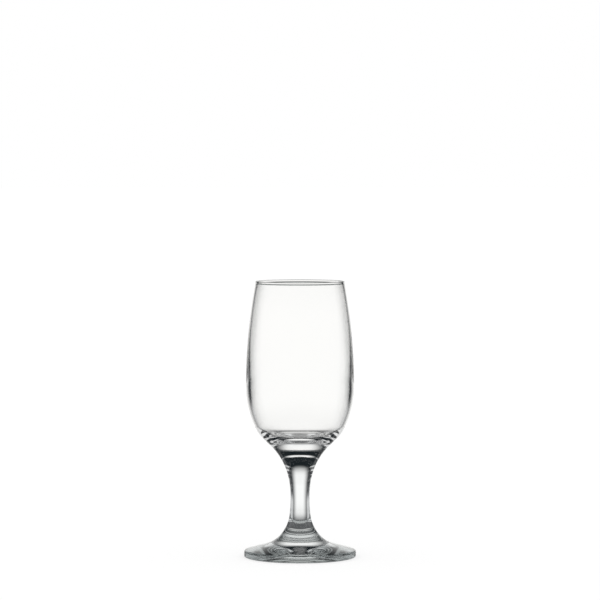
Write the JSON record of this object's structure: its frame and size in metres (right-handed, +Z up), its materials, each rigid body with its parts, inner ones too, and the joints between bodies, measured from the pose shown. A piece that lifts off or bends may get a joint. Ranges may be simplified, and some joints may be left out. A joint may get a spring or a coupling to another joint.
{
  "type": "sherry glass",
  "caption": "Small clear stemmed glass: a slim tulip bowl with a beaded rim, a short waisted stem and a round sloping foot, for holding a small drink.",
  "frame": {"origin": "middle of the plane that the foot rests on", "axes": "+Z up along the axis of the glass, out of its mouth"},
  "size_m": [0.0574, 0.0574, 0.141],
  "materials": {
    "clear_glass": "fire polished, clear"
  },
  "bodies": {
    "root": {"bowl": "clear_glass", "stem": "clear_glass", "foot": "clear_glass"}
  },
  "joints": []
}
